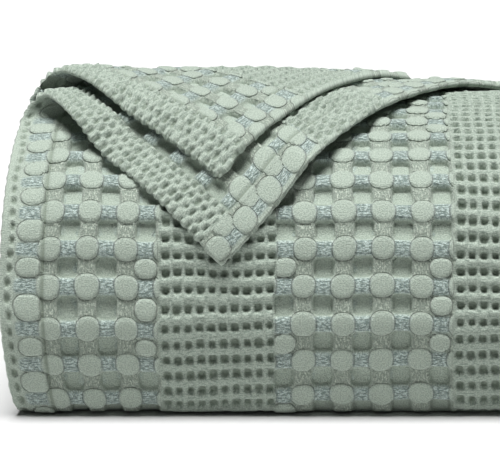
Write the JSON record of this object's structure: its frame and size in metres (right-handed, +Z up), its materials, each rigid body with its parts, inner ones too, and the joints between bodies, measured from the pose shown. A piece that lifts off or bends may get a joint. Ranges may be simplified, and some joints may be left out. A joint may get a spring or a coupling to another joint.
{
  "type": "folded waffle weave blanket",
  "caption": "Cotton blanket in a broad honeycomb and fine waffle weave, folded into a deep soft bundle with a corner of its top layers turned back.",
  "frame": {"origin": "middle of the bundle's bounding box, on the surface that it lies on", "axes": "+X along the bundle to the end where the cloth is folded over, +Y from the rounded front folds to the back, +Z up"},
  "size_m": [0.4504, 0.2868, 0.1766],
  "materials": {
    "cotton": "matt washed sage green cotton in a waffle weave"
  },
  "bodies": {
    "root": {"blanket": "cotton"}
  },
  "joints": []
}
